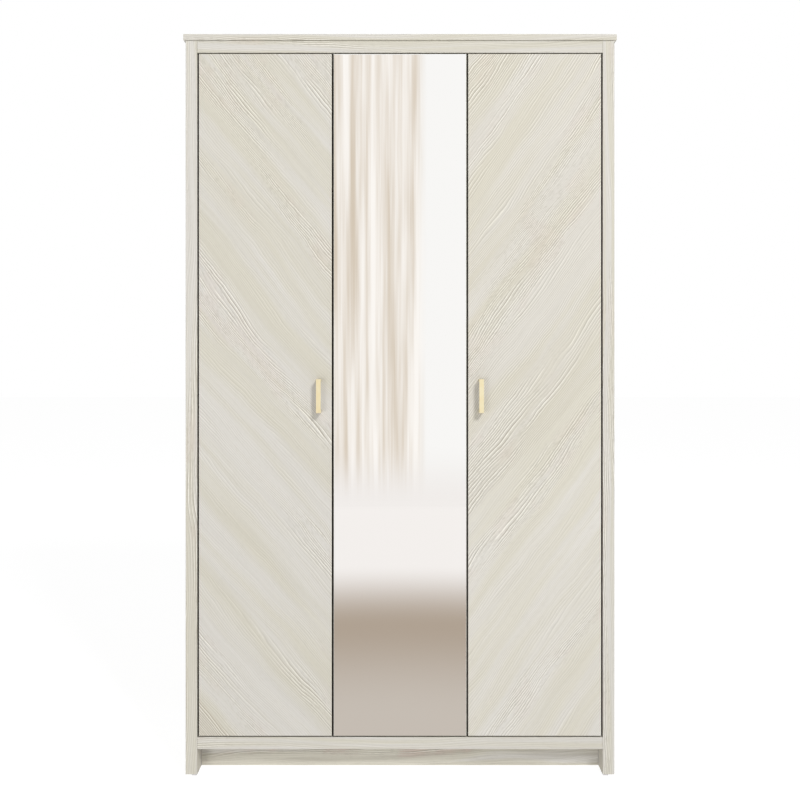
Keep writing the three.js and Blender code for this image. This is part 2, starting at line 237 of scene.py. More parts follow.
def edge_share(s):
    """1 on a door's edges, where the gaps' painted shade goes, and 0 on its two faces."""
    return s.ramp(s.math("ABSOLUTE", s.facing_back()), 0.6, 0.85, out_low=1.0, out_high=0.0)


def laminate(name, slope=0.0, seed=0, figure=1.0, fineness=1.0, seam=None, tone=1.0, shaded_edges=False):
    """Printed ash laminate: soft bands, clusters of fine growth lines with a painted highlight beside
    each, and short pores.

    figure is the strength of the bands and streaks, fineness is how much narrower the bands are
    than on an outer door, and tone is the brightness of the whole board, which is painted shade on
    the left door and painted light on the plinth. The last argument gives a door's edges painted
    shade for the gaps between the doors."""
    s = Shader(name)
    along, across = grain_axes(s, slope, seed)

    def field(scales, detail, roughness=0.5, place=across, finer=1.0):
        """Noise stretched along the grain, between 0 and 1."""
        per_along, per_across, noise_slice = scales
        x = s.math("MULTIPLY", along, per_along)
        z = s.math("MULTIPLY", place, per_across * finer)
        return s.noise(s.vector(x, seed + noise_slice, z), detail, roughness)

    # The growth lines wander slowly along the board, and waver a little more quickly on the way.
    wander = s.math("SUBTRACT", field(WANDER, detail=1.0), 0.5)
    waver = s.math("SUBTRACT", field(WAVER, detail=3.0), 0.5)
    bent = s.math("MULTIPLY_ADD", wander, WANDER_REACH, across)
    bent = s.math("MULTIPLY_ADD", waver, WAVER_REACH / fineness, bent)

    # Soft bands of tone, some tens of millimetres wide on a door, and finer streaks in them.
    bands = field(BANDS, detail=3.0, roughness=0.55, place=bent, finer=fineness)
    bands = s.ramp(bands, 0.36, 0.64)
    streaks = s.ramp(field(STREAKS, detail=3.0, roughness=0.65, place=bent), 0.35, 0.7)

    # Growth lines are the level lines of a sloping, uneven surface, so they part and close up.
    hills = field(HILLS, detail=2.0, place=bent)
    level = s.math("MULTIPLY_ADD", hills, HILL_LINES, s.math("MULTIPLY", bent, LINES_PER_METRE))
    line = s.ramp(s.math("PINGPONG", level, 0.5), **LINE_FADE, out_low=1.0, out_high=0.0)
    # A painted highlight lies beside each growth line, for light on the embossed grain.
    shifted = s.math("PINGPONG", s.math("ADD", level, HIGHLIGHT_PLACE), 0.5)
    line_highlight = s.ramp(shifted, **LINE_FADE, out_low=1.0, out_high=0.0)

    # They show in clusters, fade and return along each cluster, and stay faint between clusters.
    cluster = field(CLUSTERS, detail=1.5, place=bent, finer=fineness)
    cluster = s.ramp(cluster, 0.5, 0.62)
    presence = s.ramp(field(PRESENCE, detail=2.0, place=bent), 0.36, 0.6)
    loose = s.math("MULTIPLY_ADD", presence, LOOSE_LINES, LEAST_LINES)
    shown = s.math("MULTIPLY", cluster, presence)
    shown = s.math("MULTIPLY_ADD", shown, CLUSTERED_LINES, loose)

    # Pores are short dashes, mostly along the growth lines.
    leaning = s.math("MULTIPLY_ADD", along, PORE_LEAN, across)
    pores = s.ramp(field(PORES, detail=2.0, roughness=0.6, place=leaning), 0.5, 0.66)
    open_share = s.math("MULTIPLY_ADD", cluster, 1 - LOOSE_PORES, LOOSE_PORES)
    pores = s.math("MULTIPLY", pores, open_share)

    base = s.mix(s.math("MULTIPLY", bands, figure), PALE, MIDDLE)
    base = s.mix(s.math("MULTIPLY_ADD", streaks, STREAK_SHARE * figure, EVEN_SHARE), base, DARK)
    base = s.mix(1.0, base, grey(tone), blend="MULTIPLY")
    if seam:
        plank = s.math("MULTIPLY", plank_share(s, seam), seam["strength"])
        base = s.mix(plank, base, SHADED)
        more = s.math("ADD", presence, PLANK_LINES)
        shown = s.math("MULTIPLY_ADD", plank, more, shown, clamp=True)
    line = s.math("MULTIPLY", line, shown)
    line_highlight = s.math("MULTIPLY", line_highlight, shown)
    warm = s.math("MULTIPLY", cluster, s.ramp(waver, 0.0, 0.12))
    base = s.mix(s.math("MULTIPLY", warm, WARM_SHARE * figure), base, WARM)
    # The painted highlight beside each growth line.
    base = s.mix(s.math("MULTIPLY", line_highlight, HIGHLIGHT_SHARE), base, LINE_HIGHLIGHT)
    base = s.mix(s.math("MULTIPLY", line, LINE_SHARE), base, DARK)
    base = s.mix(s.math("MULTIPLY", pores, PORE_SHARE), base, DARK)
    # Painted shade for the gaps between the doors, laid on the doors' edges.
    if shaded_edges:
        base = s.mix(edge_share(s), base, GAP_SHADE)

    cut = s.math("MULTIPLY", line, -LINE_DEPTH)
    relief = s.math("MULTIPLY_ADD", pores, -PORE_DEPTH, cut)
    s.set(
        Base_Color=base,
        Roughness=s.ramp(pores, 0.0, 1.0, out_low=0.5, out_high=0.62),
        Normal=s.bump(relief, RELIEF_DEPTH, strength=0.6),
        Specular_IOR_Level=0.35,
    )
    return s.material


# ---------------------------------------------------------------- other materials
def backing_board():
    """Hardboard: printed with a faint grain on the inside, brown pressed fibre on the outside."""
    s = Shader("backing_board")
    x, _, z = s.split(s.place())

    def field(per_x, per_z, detail):
        place = s.vector(s.math("MULTIPLY", x, per_x), 0.0, s.math("MULTIPLY", z, per_z))
        return s.noise(place, detail, roughness=0.65)

    fibres = field(per_x=420.0, per_z=420.0, detail=4.0)
    flecks = s.ramp(field(per_x=170.0, per_z=110.0, detail=3.0), 0.5, 0.72)
    clouds = field(per_x=9.0, per_z=7.0, detail=5.0)
    brown = s.mix(clouds, srgb(128, 101, 76), srgb(150, 122, 94))
    brown = s.mix(s.math("MULTIPLY", fibres, 0.5), brown, srgb(171, 145, 115))
    brown = s.mix(s.math("MULTIPLY", flecks, 0.3), brown, srgb(92, 68, 49))
    streaks = s.ramp(field(per_x=55.0, per_z=1.6, detail=3.0), 0.35, 0.7)
    printed = s.mix(streaks, srgb(205, 202, 193), srgb(194, 190, 178))
    outside = s.math("GREATER_THAN", s.facing_back(), 0.5)
    s.set(
        Base_Color=s.mix(outside, printed, brown),
        Roughness=s.ramp(fibres, 0.3, 0.7, out_low=0.6, out_high=0.78),
        Normal=s.bump(fibres, 0.1 * MM, strength=0.5),
    )
    return s.material


def mirror_glass():
    """Silvered glass: the face is a mirror, and its polished edge is pale with a hint of green."""
    s = Shader("mirror_glass")
    face = s.math("LESS_THAN", s.facing_back(), -0.9)
    haze = s.ramp(s.noise(s.place(), detail=3.0, scale=9.0), 0.3, 0.8, out_low=0.004, out_high=0.016)
    edge_roughness = grey(0.2)
    s.set(
        Base_Color=s.mix(face, srgb(240, 245, 240), srgb(253, 253, 253)),
        Metallic=face,
        Roughness=s.mix(face, edge_roughness, haze),
    )
    return s.material


BRUSHED_ACROSS, BRUSHED_ALONG = 2600.0, 18.0  # cycles per metre


def brushed_metal(name, pale, deep, roughness, along_axis=2):
    """Metal brushed along one axis, with a slight change of tone."""
    s = Shader(name)
    per_metre = [BRUSHED_ACROSS] * 3
    per_metre[along_axis] = BRUSHED_ALONG
    scaled = [s.math("MULTIPLY", part, scale) for part, scale in zip(s.split(s.place()), per_metre)]
    brushing = s.noise(s.vector(*scaled), detail=2.0, roughness=0.6)
    cloud = s.noise(s.place(), detail=3.0, scale=60.0)
    s.set(
        Base_Color=s.mix(s.ramp(cloud, 0.3, 0.7), pale, deep),
        Roughness=s.ramp(brushing, 0.25, 0.75, roughness - 0.06, roughness + 0.08),
        Normal=s.bump(brushing, 0.03 * MM, strength=0.5),
        Metallic=1.0,
    )
    return s.material


def moulded_plastic(name, pale, deep):
    """Plastic with a fine even texture and a slight change of tone."""
    s = Shader(name)
    texture = s.noise(s.place(), detail=3.0, scale=2200.0)
    cloud = s.noise(s.place(), detail=2.0, scale=40.0)
    s.set(
        Base_Color=s.mix(cloud, pale, deep),
        Roughness=s.ramp(texture, 0.3, 0.7, out_low=0.42, out_high=0.6),
        Normal=s.bump(texture, 0.04 * MM, strength=0.6),
    )
    return s.material


UPRIGHT_GRAIN = 90 * DEG
LEFT_GRAIN = -50 * DEG
RIGHT_GRAIN = 54 * DEG

# On the three doors, painted shade for the gaps between them is laid on their edges.
MATERIALS = {
    # The left door's tone is darker than the right door's: painted shade, for the light falling from the
    # right.
    "left_door": laminate("door_laminate_left", LEFT_GRAIN, seed=1, seam=LEFT_SEAM, tone=0.93, shaded_edges=True),
    "right_door": laminate("door_laminate_right", RIGHT_GRAIN, seed=4, seam=RIGHT_SEAM, shaded_edges=True),
    "mirror_door": laminate("door_laminate_middle", UPRIGHT_GRAIN, seed=5, fineness=3.0, shaded_edges=True),
    "upright": laminate("laminate_upright", UPRIGHT_GRAIN, seed=2, fineness=4.0, tone=0.94),
    "level": laminate("laminate_level", seed=3, fineness=4.0, tone=0.93),
    # The plinth's tone is lighter than the other boards': painted light on the plinth, which sits in
    # shade under the bottom rail.
    "plinth": laminate("laminate_plinth", 2 * DEG, seed=9, figure=5.0, fineness=1.6, tone=1.11),
    "backing": backing_board(),
    "mirror": mirror_glass(),
    "brass": brushed_metal("pale_brass", srgb(253, 244, 209), srgb(251, 238, 198), 0.34),
    "steel": brushed_metal("nickelled_steel", srgb(226, 225, 222), srgb(205, 204, 203), 0.3),
    "rail": brushed_metal("chromed_tube", srgb(214, 214, 214), srgb(198, 198, 199), 0.16, along_axis=0),
    "glide": moulded_plastic("grey_plastic", srgb(204, 202, 204), srgb(190, 188, 190)),
    "white_plastic": moulded_plastic("pale_plastic", srgb(226, 224, 216), srgb(214, 211, 202)),
}


def finish_of(name):
    """(material, record slot) of a CAD node."""
    if name in ("left_door", "mirror_door", "right_door"):
        return name, "door_laminate"
    if name == "mirror_glass":
        return "mirror", "mirror"
    if "hinge" in name or name == "hanging_rail" or "socket" in name:
        return "steel", "fitting_steel"
    if "handle" in name:
        return "brass", "handle_brass"
    if "glide" in name:
        return "glide", "glide_plastic"
    if name in BACKING_NODES:
        return "backing", "backing_board"
    if name in SHELVES or name in ("hat_shelf", "bottom_panel"):
        return "level", "inner_board"
    if name in ("partition", "stop_rail", "rear_plinth", "centre_plinth_support"):
        return "upright" if name == "partition" else "level", "inner_board"
    if name == "plinth_board":
        return "plinth", "carcass_laminate"
    if name in ("top_panel", "top_rail", "bottom_rail"):
        return "level", "carcass_laminate"
    return "upright", "carcass_laminate"


# ---------------------------------------------------------------- rounded edges
# The widths are in millimetres.
NODE_ROUNDING = {"mirror_glass": 1.4, "left_handle": 0.5, "right_handle": 0.5}
SLOT_ROUNDING = {"fitting_steel": 0.25, "door_laminate": 0.9}
BOARD_ROUNDING = 0.35
ROUNDED_ANGLE = 40 * DEG
SHARP_ANGLE = 35 * DEG
WELD_DISTANCE = 1e-5  # in metres


def round_edges(obj, width):
    bevel = obj.modifiers.new("edges", "BEVEL")
    bevel.width = width * MM
    bevel.segments = 2
    bevel.limit_method = "ANGLE"
    bevel.angle_limit = ROUNDED_ANGLE


def dress_frame():
    """Materials and softened edges for every CAD node, whose facets are welded together first."""
    for name, obj in NODES.items():
        material, slot = finish_of(name)
        obj.data.materials.clear()
        obj.data.materials.append(MATERIALS[material])
        weld = obj.modifiers.new("weld", "WELD")
        weld.merge_threshold = WELD_DISTANCE
        round_edges(obj, NODE_ROUNDING.get(name, SLOT_ROUNDING.get(slot, BOARD_ROUNDING)))


# ---------------------------------------------------------------- building pieces
def piece(name, bm, material, body="root", rounding=0.0):
    """The finished mesh as an object that rides on a body, with its sharp edges rounded."""
    bmesh.ops.recalc_face_normals(bm, faces=bm.faces)
    mesh = bpy.data.meshes.new(name)
    bm.to_mesh(mesh)
    bm.free()
    mesh.shade_smooth()
    mesh.set_sharp_from_angle(angle=SHARP_ANGLE)
    mesh.materials.append(MATERIALS[material])
    obj = bpy.data.objects.new(name, mesh)
    bpy.context.scene.collection.objects.link(obj)
    if rounding:
        round_edges(obj, rounding)
    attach(obj, body)
    return obj


def steel_piece(name, bm, body="root", rounding=0.0):
    """A piece of nickelled steel."""
    return piece(name, bm, "steel", body, rounding)


CORNER_SHARE = 0.45  # the most of an edge that the arc at its end takes


def rounded(points, radius, closed=True, steps=5):
    """The outline with each corner replaced by an arc of about this radius."""
    count = len(points)
    out = []
    for i, (a, b) in enumerate(points):
        if not closed and i in (0, count - 1):
            out.append((a, b))
            continue
        corner = Vector((a, b))
        before = Vector(points[i - 1]) - corner
        after = Vector(points[(i + 1) % count]) - corner
        reach = min(radius, before.length * CORNER_SHARE, after.length * CORNER_SHARE)
        start = corner + before.normalized() * reach
        end = corner + after.normalized() * reach
        for k in range(steps + 1):
            t = k / steps
            point = start * (1 - t) ** 2 + corner * 2 * t * (1 - t) + end * t * t
            out.append((point.x, point.y))
    return out


def arc(centre, radius, start, end, steps):
    """Points on an arc from one angle to another."""
    turns = [start + (end - start) * i / steps for i in range(steps + 1)]
    return [(centre[0] + radius * math.cos(t), centre[1] + radius * math.sin(t)) for t in turns]


def circle(centre, radius, steps):
    return arc(centre, radius, 0, FULL_TURN, steps)[:-1]


def stadium(width, height):
    """A slot's outline, taller than it is wide."""
    radius = width / 2
    straight = height / 2 - radius
    steps = 16
    top = arc((0, straight), radius, 0, math.pi, steps)
    return top + arc((0, -straight), radius, math.pi, FULL_TURN, steps)


def bent_strip(centre_line, thickness, radius):
    """The outline of a strip bent along a line, with round bends."""
    line = [Vector(point) for point in rounded(centre_line, radius, closed=False)]
    sides = ([], [])
    for i, point in enumerate(line):
        along = line[min(i + 1, len(line) - 1)] - line[max(i - 1, 0)]
        across = Vector((-along.y, along.x)).normalized() * thickness / 2
        sides[0].append(tuple(point + across))
        sides[1].append(tuple(point - across))
    return sides[0] + sides[1][::-1]


def ring_of(bm, place, outline, height):
    return [bm.verts.new(place @ Vector((a, b, height))) for a, b in outline]


def bridge(bm, ring, following):
    """Faces between two rings with as many points."""
    count = len(ring)
    for i in range(count):
        j = (i + 1) % count
        bm.faces.new((ring[i], ring[j], following[j], following[i]))


def prism(bm, place, outline, low, high):
    """A solid between two heights, with its outline in the plane of the first two axes."""
    bottom = ring_of(bm, place, outline, low)
    top = ring_of(bm, place, outline, high)
    bm.faces.new(bottom)
    bm.faces.new(top)
    bridge(bm, bottom, top)


def tube(bm, place, outer, inner, low, high):
    """A solid with a hole all the way through, from two outlines with as many points."""
    corners = ((outer, low), (outer, high), (inner, high), (inner, low))
    rings = [ring_of(bm, place, outline, height) for outline, height in corners]
    for ring, following in zip(rings, rings[1:] + rings[:1]):
        bridge(bm, ring, following)


def lathe(bm, place, profile, steps=32):
    """A solid of revolution about the third axis, from (radius, height) points.

    The profile starts and ends on the axis."""
    rings = []
    for radius, height in profile:
        outline = circle((0, 0), radius, steps) if radius else [(0, 0)]
        rings.append(ring_of(bm, place, outline, height))
    for ring, following in zip(rings, rings[1:]):
        for i in range(steps):
            j = (i + 1) % steps
            corners = [ring[i % len(ring)], ring[j % len(ring)]]
            corners += [following[j % len(following)], following[i % len(following)]]
            bm.faces.new(list(dict.fromkeys(corners)))


def cross_outline(reach, arm):
    """A plus sign's outline as 24 points, one for each 15 degrees or so."""
    quarter = [(reach, 0), (reach, arm), ((reach + arm) / 2, arm), (arm, arm)]
    quarter += [(arm, (reach + arm) / 2), (arm, reach)]
    points = []
    for turn in range(4):
        cos, sin = round(math.cos(turn * math.pi / 2)), round(math.sin(turn * math.pi / 2))
        points += [(a * cos - b * sin, a * sin + b * cos) for a, b in quarter]
    return points


# Heads, as a radius and a height in millimetres.
WOOD_SCREW = (4.2, 1.6)
SOCKET_SCREW = (3.6, 1.6)
HANDLE_SCREW = (4.0, 2.2)
ARM_SIDE_SCREW = (3.2, 2.6)
ARM_LOCK_SCREW = (4.4, 2.6)
CAM_CAP = (9.0, 1.3)


def screw_head(bm, place, size, flat=0.55):
    """A low domed head with a cross recess, standing on the plane of the first two axes.

    flat is the radius of its flat top as a share of the head's."""
    radius, height = size
    cross = cross_outline(radius * 0.5, radius * 0.13)
    dome = [(1.0, 0.0), (1.0, 0.25), (0.9, 0.7), (0.72, 0.95), (flat, 1.0)]
    rings = [ring_of(bm, place, circle((0, 0), radius * r, len(cross)), height * h) for r, h in dome]
    rings += [ring_of(bm, place, cross, height * h) for h in (1.0, 0.35)]
    for ring, following in zip(rings, rings[1:]):
        bridge(bm, ring, following)
    bm.faces.new(rings[0])
    bm.faces.new(rings[-1])


def turned(direction):
    """The turn that brings the third axis along a direction."""
    return Vector(direction).to_track_quat("Z", "Y").to_matrix().to_4x4()


def facing(place, spot, direction):
    """The place moved to a spot of its own, with its third axis along a direction."""
    return place @ Matrix.Translation(spot) @ turned(direction)


def on_face(x, y, z, direction):
    """A place in millimetres at a point given in metres, with its third axis along a direction."""
    return Matrix.Translation((x, y, z)) @ turned(direction) @ MILLIMETRES


# These bring the third axis along the x or the y of the place that they follow.
ALONG_X = Matrix(((0, 0, 1, 0), (1, 0, 0, 0), (0, 1, 0, 0), (0, 0, 0, 1)))
ALONG_Y = Matrix(((1, 0, 0, 0), (0, 0, 1, 0), (0, 1, 0, 0), (0, 0, 0, 1)))


# ---------------------------------------------------------------- concealed hinges
# These sizes are in millimetres. u runs from the door's hinged edge into the door, v from the
# door's front backwards and w up from the middle of the hinge.
PIN_U, PIN_V = 17.0, 8.0
PIN_RADIUS = 1.0
EYE_RADIUS = 2.3
EYE_BORE = 1.2
CUP_MIDDLE = 22.5
CUP_RADIUS = 17.2
CUP_INSIDE = 16.0
CUP_FLOOR = 4.8
CUP_SHEET = 0.7  # the thickness of the cup's floor
DOOR_BACK = 16.3
FLANGE_BACK = 17.5
FLANGE_RADIUS = 19.6
WING_HALF = 7.0
WING_START, WING_END = 17.5, 30.0
WING_CORNER = 5.0
WING_SCREW_W = 24.0
ARM_HALF = 8.0
ARM_SWING_GAP = 10.5  # half of the gap in the flange that the arm swings through
ARM_THICKNESS = 2.4
ARM_BEND = 4.0
NECK_U, NECK_V, CROSS_V, TAIL_V = 29.0, 13.0, 30.0, 72.0
CHEEK_HEIGHT = 4.5
CHEEK_THICKNESS = 1.4
CHEEK_CORNER = 2.5
SIDE_SCREW_V, LOCK_SCREW_V = 42.0, 61.0
PLATE_THICKNESS = 2.4
PLATE_FRONT, PLATE_BACK, PLATE_HALF = 36.0, 80.0, 9.0
PLATE_WING_FRONT, PLATE_WING_BACK, PLATE_WING_END = 50.0, 64.0, 25.0
PLATE_CORNER = 4.0
PLATE_SCREW_W = 18.5
FIT = 0.3  # the gap between pieces that touch


def hinge_place(door, level):
    """From (u, v, w) in millimetres to the room."""
    low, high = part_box(f"{door}_door")
    cup_low, cup_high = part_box(f"{door}_hinge_cup_{level}")
    inward = SIDES[door]
    origin = (low.x if inward > 0 else high.x, low.y, (cup_low.z + cup_high.z) / 2)
    return Matrix.Translation(origin) @ Matrix.Diagonal((inward * MM, MM, MM, 1))


def plate_face(door, level):
    """The u of the plate's face that the arm lies on."""
    low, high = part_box(f"{door}_hinge_plate_{level}")
    place = hinge_place(door, level).inverted()
    return max((place @ low).x, (place @ high).x)


def drawn_cup(bm, place):
    """A shallow steel bowl with a rolled bottom corner, from its axis out, up and back in."""
    rim = DOOR_BACK - FIT
    profile = [(0, CUP_FLOOR), (CUP_RADIUS - 1.5, CUP_FLOOR), (CUP_RADIUS - 0.4, CUP_FLOOR + 0.4)]
    profile += [(CUP_RADIUS, CUP_FLOOR + 1.5), (CUP_RADIUS, rim), (CUP_INSIDE, rim)]
    profile += [(CUP_INSIDE, CUP_FLOOR + 2.2), (CUP_INSIDE - 0.5, CUP_FLOOR + 1.1)]
    profile += [(CUP_INSIDE - 1.6, CUP_FLOOR + CUP_SHEET), (0, CUP_FLOOR + CUP_SHEET)]
    lathe(bm, place, profile, steps=48)


def cup_flange(bm, place):
    """A flange that is open towards the arm, and a wing above and below it."""
    outer_gap = math.asin(ARM_SWING_GAP / FLANGE_RADIUS)
    inner_gap = math.asin(ARM_SWING_GAP / CUP_INSIDE)
    steps = 40
    flange = arc((0, 0), FLANGE_RADIUS, -math.pi + outer_gap, math.pi - outer_gap, steps)
    flange += arc((0, 0), CUP_INSIDE, math.pi - inner_gap, -math.pi + inner_gap, steps)
    prism(bm, place, flange, DOOR_BACK, FLANGE_BACK)
    for side in (-1, 1):
        start, end = side * WING_START, side * WING_END
        wing = [(-WING_HALF, start), (WING_HALF, start), (WING_HALF, end), (-WING_HALF, end)]
        prism(bm, place, rounded(wing, WING_CORNER), DOOR_BACK, FLANGE_BACK)


def cup_piece(door, level, body):
    """A drawn steel cup with its pin, a flange open towards the arm, and two screwed wings."""
    bm = bmesh.new()
    place = hinge_place(door, level)
    from_middle = place @ Matrix.Translation((CUP_MIDDLE, 0, 0)) @ ALONG_Y
    drawn_cup(bm, from_middle)
    cup_flange(bm, from_middle)
    pin_half = math.sqrt(CUP_RADIUS**2 - (CUP_MIDDLE - PIN_U) ** 2) - 0.5
    pin = [(0, -pin_half), (PIN_RADIUS, -pin_half), (PIN_RADIUS, pin_half), (0, pin_half)]
    lathe(bm, place @ Matrix.Translation((PIN_U, PIN_V, 0)), pin, steps=20)
    cup = steel_piece(f"{door}_cup_{level}", bm, body, rounding=0.25)
    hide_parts(f"{door}_hinge_cup_{level}")

    screws = bmesh.new()
    for side in (-1, 1):
        spot = (CUP_MIDDLE, FLANGE_BACK, side * WING_SCREW_W)
        screw_head(screws, facing(place, spot, (0, 1, 0)), WOOD_SCREW)
    steel_piece(f"{door}_cup_screws_{level}", screws, body)


def arm_piece(door, level):
    """The arm: an eye round the pin, a bent strip, and a tail stiffened by two cheeks."""
    bm = bmesh.new()
    place = hinge_place(door, level)
    tail = plate_face(door, level) + FIT + ARM_THICKNESS / 2
    line = [(PIN_U + 1.6, PIN_V + 0.7), (NECK_U, NECK_V), (NECK_U, CROSS_V)]
    line += [(tail, CROSS_V), (tail, TAIL_V)]
    prism(bm, place, bent_strip(line, ARM_THICKNESS, ARM_BEND), -ARM_HALF, ARM_HALF)
    eye = [circle((PIN_U, PIN_V), radius, 24) for radius in (EYE_RADIUS, EYE_BORE)]
    tube(bm, place, *eye, -ARM_HALF, ARM_HALF)
    face = tail + ARM_THICKNESS / 2
    top = face + CHEEK_HEIGHT
    cheek = [(tail, CROSS_V + 2), (top, CROSS_V + 3), (top, TAIL_V - 9)]
    cheek += [(face + 2.5, TAIL_V - 2), (tail, TAIL_V)]
    for side in (-1, 1):
        ends = sorted((side * ARM_HALF, side * (ARM_HALF - CHEEK_THICKNESS)))
        prism(bm, place, rounded(cheek, CHEEK_CORNER), *ends)
    arm = steel_piece(f"{door}_arm_{level}", bm, rounding=0.3)
    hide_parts(f"{door}_hinge_arm_{level}")

    screws = bmesh.new()
    for v, size in ((SIDE_SCREW_V, ARM_SIDE_SCREW), (LOCK_SCREW_V, ARM_LOCK_SCREW)):
        screw_head(screws, facing(place, (face, v, 0), (1, 0, 0)), size)
    steel_piece(f"{door}_arm_screws_{level}", screws)


def plate_piece(door, level):
    """The mounting plate: a cross with rounded corners and a screw in each wing."""
    bm = bmesh.new()
    place = hinge_place(door, level)
    face = plate_face(door, level)
    lower = [(PLATE_FRONT, -PLATE_HALF), (PLATE_WING_FRONT, -PLATE_HALF)]
    lower += [(PLATE_WING_FRONT, -PLATE_WING_END), (PLATE_WING_BACK, -PLATE_WING_END)]
    lower += [(PLATE_WING_BACK, -PLATE_HALF), (PLATE_BACK, -PLATE_HALF)]
    outline = rounded(lower + [(v, -w) for v, w in reversed(lower)], PLATE_CORNER)
    prism(bm, place @ ALONG_X, outline, face - PLATE_THICKNESS, face)
    plate = steel_piece(f"{door}_plate_{level}", bm, rounding=0.4)
    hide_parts(f"{door}_hinge_plate_{level}")

    screws = bmesh.new()
    wing_middle = (PLATE_WING_FRONT + PLATE_WING_BACK) / 2
    for side in (-1, 1):
        spot = (face, wing_middle, side * PLATE_SCREW_W)
        screw_head(screws, facing(place, spot, (1, 0, 0)), WOOD_SCREW)
    steel_piece(f"{door}_plate_screws_{level}", screws)


def add_hinges():
    for door in SIDES:
        for level in LEVELS:
            cup_piece(door, level, f"{door}_leaf")
            arm_piece(door, level)
            plate_piece(door, level)


# ---------------------------------------------------------------- small fittings
# These sizes are in millimetres too.
HANDLE_SCREW_INSET = 3.5
RAIL_WIDTH, RAIL_HEIGHT, RAIL_WALL = 15.0, 30.0, 1.2
SOCKET_PLATE = 3.0
SOCKET_SCREW_OFFSET = 23.0
SHELF_PIN_RADIUS, SHELF_PIN_LENGTH = 3.2, 9.0
SHELF_PIN_INSET = 37.0
COLLAR_SINK = 0.2  # how far the pins' collars are let into the boards
CAM_INSET_X, CAM_INSET_Y = 34.0, 50.0
STOP_INSET = 30.0
STOP_LIFT = 16.0
NAIL_PITCH = 120.0
NAIL_INSET = 7.0
STRIP_HALF, STRIP_FACE_HALF = 5.5, 4.6
STRIP_FRONT, STRIP_BACK = 0.1, 1.3
BAND_THICKNESS = 0.4
BAND_INSET = 0.1


def middle_of(name):
    low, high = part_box(name)
    return (low + high) / 2


def add_handle_screws():
    """Two machine screws through each outer door hold its pull."""
    for door in ("left", "right"):
        low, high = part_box(f"{door}_handle")
        x = (low.x + high.x) / 2
        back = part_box(f"{door}_door")[1].y
        bm = bmesh.new()
        for z in (low.z + HANDLE_SCREW_INSET * MM, high.z - HANDLE_SCREW_INSET * MM):
            screw_head(bm, on_face(x, back, z, (0, 1, 0)), HANDLE_SCREW)
        steel_piece(f"{door}_handle_screws", bm, f"{door}_leaf")


def add_clothes_rail():
    """The oval clothes rail as one smooth tube, and the screws of its sockets."""
    low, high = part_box("hanging_rail")
    middle = middle_of("hanging_rail")
    half = (high.x - low.x) / 2 / MM
    bm = bmesh.new()
    place = Matrix.Translation(middle) @ MILLIMETRES @ ALONG_X
    bore = stadium(RAIL_WIDTH - 2 * RAIL_WALL, RAIL_HEIGHT - 2 * RAIL_WALL)
    tube(bm, place, stadium(RAIL_WIDTH, RAIL_HEIGHT), bore, -half, half)
    rail = piece("clothes_rail", bm, "rail", rounding=0.2)
    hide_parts("hanging_rail")
    for side, inward in (("left", 1), ("right", -1)):
        low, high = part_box(f"{side}_rail_socket")
        face = (low.x if inward > 0 else high.x) + inward * SOCKET_PLATE * MM
        bm = bmesh.new()
        for offset in (-SOCKET_SCREW_OFFSET * MM, SOCKET_SCREW_OFFSET * MM):
            spot = on_face(face, middle.y, middle.z + offset, (inward, 0, 0))
            screw_head(bm, spot, SOCKET_SCREW)
        steel_piece(f"{side}_socket_screws", bm)


def add_shelf_pins():
    """Four nickelled pins with collars under each shelf of the narrow bay."""
    radius, length = SHELF_PIN_RADIUS, SHELF_PIN_LENGTH
    pin = [(0, 0), (radius, 0), (radius, length - 1.6), (radius - 0.5, length - 0.5)]
    pin += [(radius - 1.4, length), (0, length)]
    collar = [(0, 0), (radius + 1.6, 0), (radius + 1.6, 0.8), (radius, 1.4), (0, 1.4)]
    for shelf in SHELVES:
        low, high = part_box(shelf)
        bm = bmesh.new()
        z = low.z - (radius + FIT) * MM
        for x, inward in ((low.x, 1), (high.x, -1)):
            for y in (low.y + SHELF_PIN_INSET * MM, high.y - SHELF_PIN_INSET * MM):
                spot = on_face(x, y, z, (inward, 0, 0))
                lathe(bm, spot, pin, steps=20)
                lathe(bm, spot @ Matrix.Translation((0, 0, -COLLAR_SINK)), collar, steps=20)
        steel_piece(f"{shelf}_pins", bm)


def add_cam_caps():
    """Cams draw the hat shelf tight to the side panel and the partition, with a cap over each."""
    low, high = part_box("hat_shelf")
    bm = bmesh.new()
    for x in (low.x + CAM_INSET_X * MM, high.x - CAM_INSET_X * MM):
        for y in (low.y + CAM_INSET_Y * MM, high.y - CAM_INSET_Y * MM):
            screw_head(bm, on_face(x, y, low.z, (0, 0, -1)), CAM_CAP, flat=0.7)
    piece("hat_shelf_cam_caps", bm, "white_plastic")


def add_door_stops():
    """A soft stop on the stop rail, behind the top free corner of each door."""
    rail_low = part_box("stop_rail")[0]
    for door, inward in SIDES.items():
        low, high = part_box(f"{door}_door")
        x = high.x - STOP_INSET * MM if inward > 0 else low.x + STOP_INSET * MM
        length = (rail_low.y - high.y) / MM - FIT
        profile = [(0, 0), (5, 0), (5, 1.2), (4.2, 2), (3.6, length - 1.2), (2.8, length - 0.3)]
        bm = bmesh.new()
        spot = on_face(x, rail_low.y, rail_low.z + STOP_LIFT * MM, (0, -1, 0))
        lathe(bm, spot, profile + [(0, length)])
        piece(f"{door}_door_stop", bm, "white_plastic")


def spread(low, high, pitch):
    """Evenly spaced places from one end to the other, about a pitch apart."""
    count = max(1, round((high - low) / pitch))
    return [low + (high - low) * i / count for i in range(count + 1)]


